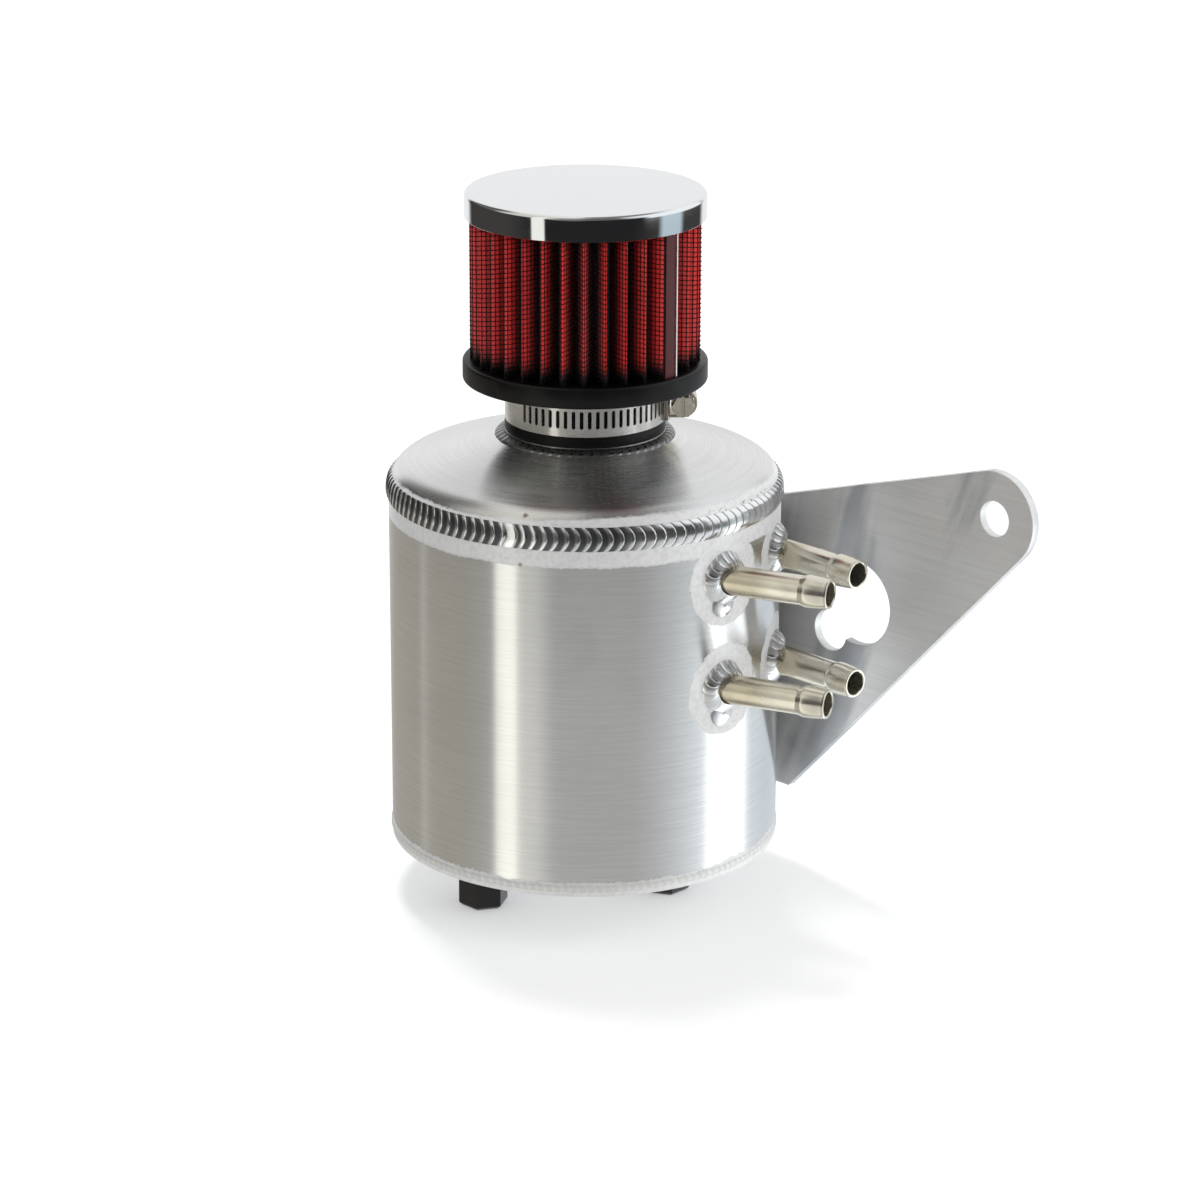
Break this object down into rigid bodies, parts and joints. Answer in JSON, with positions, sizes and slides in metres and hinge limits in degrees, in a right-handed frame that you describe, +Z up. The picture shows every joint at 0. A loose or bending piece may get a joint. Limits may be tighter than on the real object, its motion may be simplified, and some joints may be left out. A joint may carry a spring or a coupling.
{
  "type": "oil catch can",
  "caption": "Round welded aluminium oil catch can with a clamp-on pleated breather filter, side hose tubes, a flat mounting bracket and screwed fittings underneath.",
  "frame": {"origin": "on the can's axis, on the flat underside of its bottom plate", "axes": "+Z up along the can's axis, +X along the bracket plate, +Y square to the plate, from the can towards it"},
  "size_m": [0.1984, 0.1311, 0.2344],
  "materials": {
    "can_body": "brushed round the can",
    "bottom_plate": "plain",
    "top_dome": "spun and brushed",
    "top_seam_weld": "rippled weld bead",
    "bottom_seam_weld": "thin weld bead",
    "vent_neck": "turned",
    "neck_weld": "rippled weld bead",
    "mounting_bracket": "brushed along its length",
    "bracket_welds": "weld bead",
    "filter_base": "satin black",
    "filter_media": "red pleated cotton under a black wire mesh",
    "filter_inner_screen": "punched sheet",
    "filter_cap": "mirror chrome",
    "filter_potting": "cast",
    "clamp_band": "stainless strip",
    "clamp_band_tail": "stainless strip",
    "clamp_housing": "stainless",
    "clamp_screw": "zinc plated",
    "base_bungs": "turned",
    "drain_cock": "black",
    "drain_seal": "black",
    "blank_plug_right": "black",
    "blank_plug_rear": "black",
    "plug_seal_right": "black",
    "plug_seal_rear": "black",
    "baffle_plate": "plain",
    "mesh_pad": "knitted wire",
    "slosh_baffle": "plain",
    "hose_tube_front_upper": "bright, a little yellowed",
    "hose_weld_front_upper": "rippled weld bead",
    "hose_tube_front_lower": "bright, a little yellowed",
    "hose_weld_front_lower": "rippled weld bead",
    "hose_tube_rear_upper": "bright, a little yellowed",
    "hose_weld_rear_upper": "rippled weld bead",
    "hose_tube_rear_lower": "bright, a little yellowed",
    "hose_weld_rear_lower": "rippled weld bead"
  },
  "bodies": {
    "can": {"can_body": "can_body", "bottom_plate": "bottom_plate", "top_dome": "top_dome", "top_seam_weld": "top_seam_weld", "bottom_seam_weld": "bottom_seam_weld", "vent_neck": "vent_neck", "neck_weld": "neck_weld", "mounting_bracket": "mounting_bracket", "bracket_welds": "bracket_welds", "filter_base": "filter_base", "filter_media": "filter_media", "filter_inner_screen": "filter_inner_screen", "filter_cap": "filter_cap", "filter_potting": "filter_potting", "clamp_band": "clamp_band", "clamp_band_tail": "clamp_band_tail", "clamp_housing": "clamp_housing", "base_bungs": "base_bungs", "drain_seal": "drain_seal", "blank_plug_right": "blank_plug_right", "blank_plug_rear": "blank_plug_rear", "plug_seal_right": "plug_seal_right", "plug_seal_rear": "plug_seal_rear", "baffle_plate": "baffle_plate", "mesh_pad": "mesh_pad", "slosh_baffle": "slosh_baffle", "hose_tube_front_upper": "hose_tube_front_upper", "hose_weld_front_upper": "hose_weld_front_upper", "hose_tube_front_lower": "hose_tube_front_lower", "hose_weld_front_lower": "hose_weld_front_lower", "hose_tube_rear_upper": "hose_tube_rear_upper", "hose_weld_rear_upper": "hose_weld_rear_upper", "hose_tube_rear_lower": "hose_tube_rear_lower", "hose_weld_rear_lower": "hose_weld_rear_lower"},
    "cock": {"drain_cock": "drain_cock"},
    "worm": {"clamp_screw": "clamp_screw"}
  },
  "joints": [
    {"name": "drain_turn", "type": "hinge", "parent": "can", "child": "cock", "pos_m": [-0.0078, -0.0389, -0.01], "axis": [0, 0, 1], "range_deg": [0, 360]},
    {"name": "clamp_screw_turn", "type": "hinge", "parent": "can", "child": "worm", "pos_m": [0.0221, 0.0221, 0.1463], "axis": [0.7071, -0.7071, 0], "continuous": true}
  ]
}
